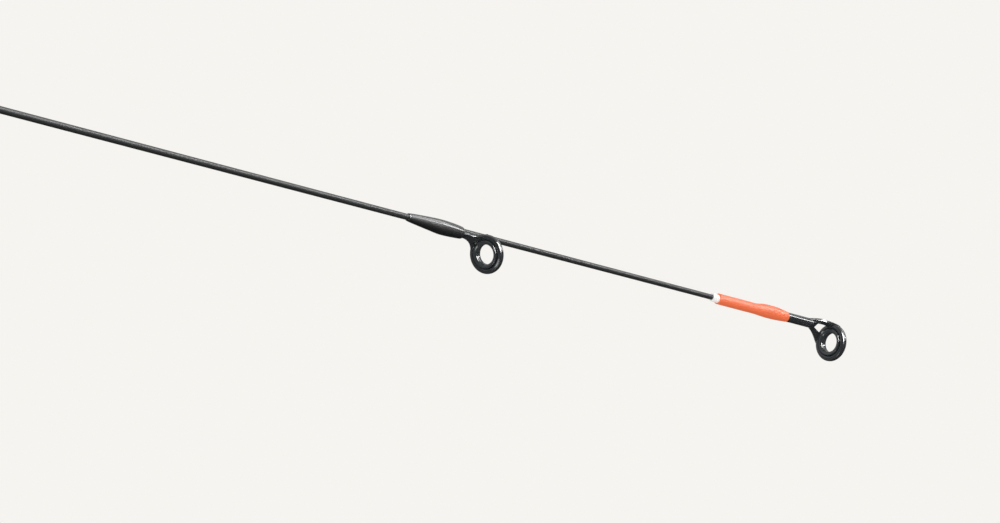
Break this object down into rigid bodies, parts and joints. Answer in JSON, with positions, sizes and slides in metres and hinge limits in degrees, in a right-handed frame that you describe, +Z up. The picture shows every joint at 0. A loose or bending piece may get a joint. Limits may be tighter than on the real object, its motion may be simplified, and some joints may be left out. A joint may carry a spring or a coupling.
{
  "type": "ice fishing rod",
  "caption": "Short spinning rod for ice fishing: tapered blank with hanging ring guides, bright wrapped tip, reel seat with screw-down hood and foam grips.",
  "frame": {"origin": "on the rod's axis, in the middle of the rear grip, where the rod is held", "axes": "+X along the rod from butt to tip, +Z up, away from the reel and guides, which hang towards -Z"},
  "size_m": [0.7112, 0.025, 0.0313],
  "materials": {
    "blank": "satin grey graphite composite",
    "frame_steel": "glossy black coated stainless steel",
    "ceramic": "polished black ceramic",
    "black_wrap": "black thread under clear epoxy",
    "orange_wrap": "fluorescent orange thread under clear epoxy",
    "white_thread": "white thread under clear epoxy",
    "foam": "matte closed-cell foam",
    "seat": "satin graphite-filled nylon",
    "nut": "satin nylon, fluted",
    "trim": "orange anodised, satin",
    "bushing": "plain fibre",
    "rubber": "matte"
  },
  "bodies": {
    "rod": {"rod_blank": "blank", "tip_top_tube": "frame_steel", "tip_top_frame": "frame_steel", "tip_top_ring": "ceramic", "tip_wrap": "orange_wrap", "tip_trim_band": "white_thread", "hook_keeper": "frame_steel", "hook_keeper_wrap": "black_wrap", "winding_check": "trim", "fore_grip": "foam", "front_trim_ring": "trim", "rear_trim_ring": "trim", "seat_barrel": "seat", "seat_rear_bushing": "bushing", "seat_front_bushing": "bushing", "rear_grip": "foam", "butt_cap": "rubber", "first_guide_frame": "frame_steel", "first_guide_ring": "ceramic", "first_guide_wrap": "black_wrap", "second_guide_frame": "frame_steel", "second_guide_ring": "ceramic", "second_guide_wrap": "black_wrap", "third_guide_frame": "frame_steel", "third_guide_ring": "ceramic", "third_guide_wrap": "black_wrap"},
    "hood": {"moving_hood": "seat"},
    "nut": {"lock_nut": "nut"}
  },
  "joints": [
    {"name": "hood_slide", "type": "slide", "parent": "rod", "child": "hood", "axis": [-1, 0, 0], "range_m": [0, 0.014]},
    {"name": "nut_spin", "type": "hinge", "parent": "hood", "child": "nut", "pos_m": [0.1367, 0, 0], "axis": [-1, 0, 0], "range_deg": [0, 2520]}
  ],
  "couplings": [
    {"joint": "hood_slide", "follows": "nut_spin", "m_per_rad": 0.00031831}
  ]
}
